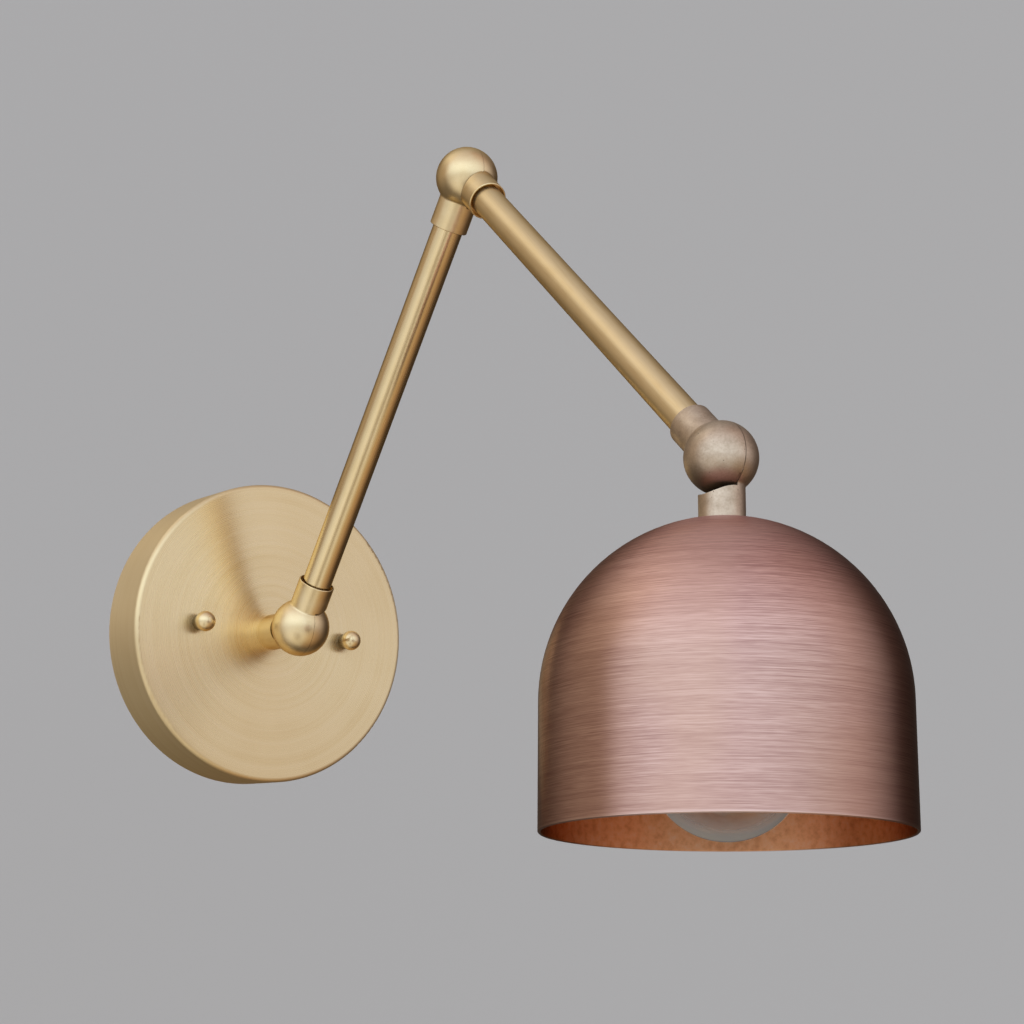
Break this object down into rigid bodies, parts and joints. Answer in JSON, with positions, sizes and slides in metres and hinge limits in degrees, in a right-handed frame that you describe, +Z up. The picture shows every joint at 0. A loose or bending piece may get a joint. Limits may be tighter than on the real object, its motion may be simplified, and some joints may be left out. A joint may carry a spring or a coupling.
{
  "type": "articulated wall lamp",
  "caption": "Wall lamp with a round canopy, jointed brass arms on ball swivels, and a brushed copper dome shade over a clear globe bulb.",
  "frame": {"origin": "centre of the canopy's back, on the wall plane", "axes": "+X to the right for someone who faces the wall, +Y into the wall, +Z up"},
  "size_m": [0.127, 0.3852, 0.2704],
  "materials": {
    "satin_brass": "satin brushed and lacquered",
    "raw_brass": "raw tumbled, aged",
    "brushed_copper": "brushed antique copper outside, raw copper inside",
    "plated_steel": "zinc plated",
    "green_steel": "green dyed zinc",
    "friction_fibre": "dark fibre",
    "plain_brass": "bright rolled",
    "black_phenolic": "moulded",
    "tip_solder": "solder",
    "clear_glass": "clear",
    "stem_glass": "clear",
    "filament_metal": "drawn",
    "wire_black": "extruded",
    "wire_white": "extruded",
    "wire_sleeve": "extruded",
    "ground_copper": "bare drawn",
    "connector_plastic": "moulded"
  },
  "bodies": {
    "wall_base": {"canopy": "satin_brass", "mounting_crossbar": "plated_steel", "canopy_studs": "plated_steel", "stud_lock_nuts": "plated_steel", "ball_nuts": "satin_brass", "ground_screw": "green_steel", "ground_lead": "ground_copper", "lead_black": "wire_black", "lead_white": "wire_white", "wire_connectors": "connector_plastic", "canopy_nipple": "plated_steel", "canopy_lock_washer": "plated_steel", "canopy_lock_nut": "plated_steel", "shoulder_fixed_half": "satin_brass"},
    "lower_arm": {"shoulder_moving_half": "satin_brass", "shoulder_pivot_screw": "plated_steel", "shoulder_spring_washer": "plated_steel", "shoulder_friction_ring": "friction_fibre", "lower_arm_tube": "satin_brass", "lower_arm_nipples": "plated_steel", "lower_arm_wires": "wire_sleeve", "elbow_fixed_half": "satin_brass", "elbow_pivot_screw": "plated_steel", "elbow_spring_washer": "plated_steel", "elbow_friction_ring": "friction_fibre"},
    "upper_arm": {"elbow_moving_half": "satin_brass", "upper_arm_tube": "satin_brass", "upper_arm_nipples": "plated_steel", "upper_arm_wires": "wire_sleeve", "knuckle_arm_half": "raw_brass", "knuckle_pivot_screw": "plated_steel", "knuckle_spring_washer": "plated_steel", "knuckle_friction_ring": "friction_fibre"},
    "shade_head": {"knuckle_shade_half": "raw_brass", "shade": "brushed_copper", "shade_nipple": "plated_steel", "shade_washer": "plated_steel", "shade_lock_nut": "plated_steel", "socket_cap": "plain_brass", "socket_set_screw": "plated_steel", "socket_body": "black_phenolic", "socket_terminal_screws": "plated_steel", "socket_screw_shell": "plain_brass", "socket_centre_contact": "plain_brass", "head_wires": "wire_sleeve", "bulb_base": "plain_brass", "bulb_tip_contact": "tip_solder", "bulb_insulator": "black_phenolic", "bulb_glass": "clear_glass", "bulb_stem": "stem_glass", "bulb_filament": "filament_metal"}
  },
  "joints": [
    {"name": "shoulder_swivel", "type": "hinge", "parent": "wall_base", "child": "lower_arm", "pos_m": [0, -0.05, 0], "axis": [-1, 0, 0], "range_deg": [-146.64, 33.36]},
    {"name": "elbow_swivel", "type": "hinge", "parent": "lower_arm", "child": "upper_arm", "pos_m": [0, -0.15998, 0.16705], "axis": [-1, 0, 0], "range_deg": [-7.76, 202.24]},
    {"name": "shade_swivel", "type": "hinge", "parent": "upper_arm", "child": "shade_head", "pos_m": [0, -0.31943, 0.03038], "axis": [-1, 0, 0], "range_deg": [-59.7, 150.3]}
  ]
}
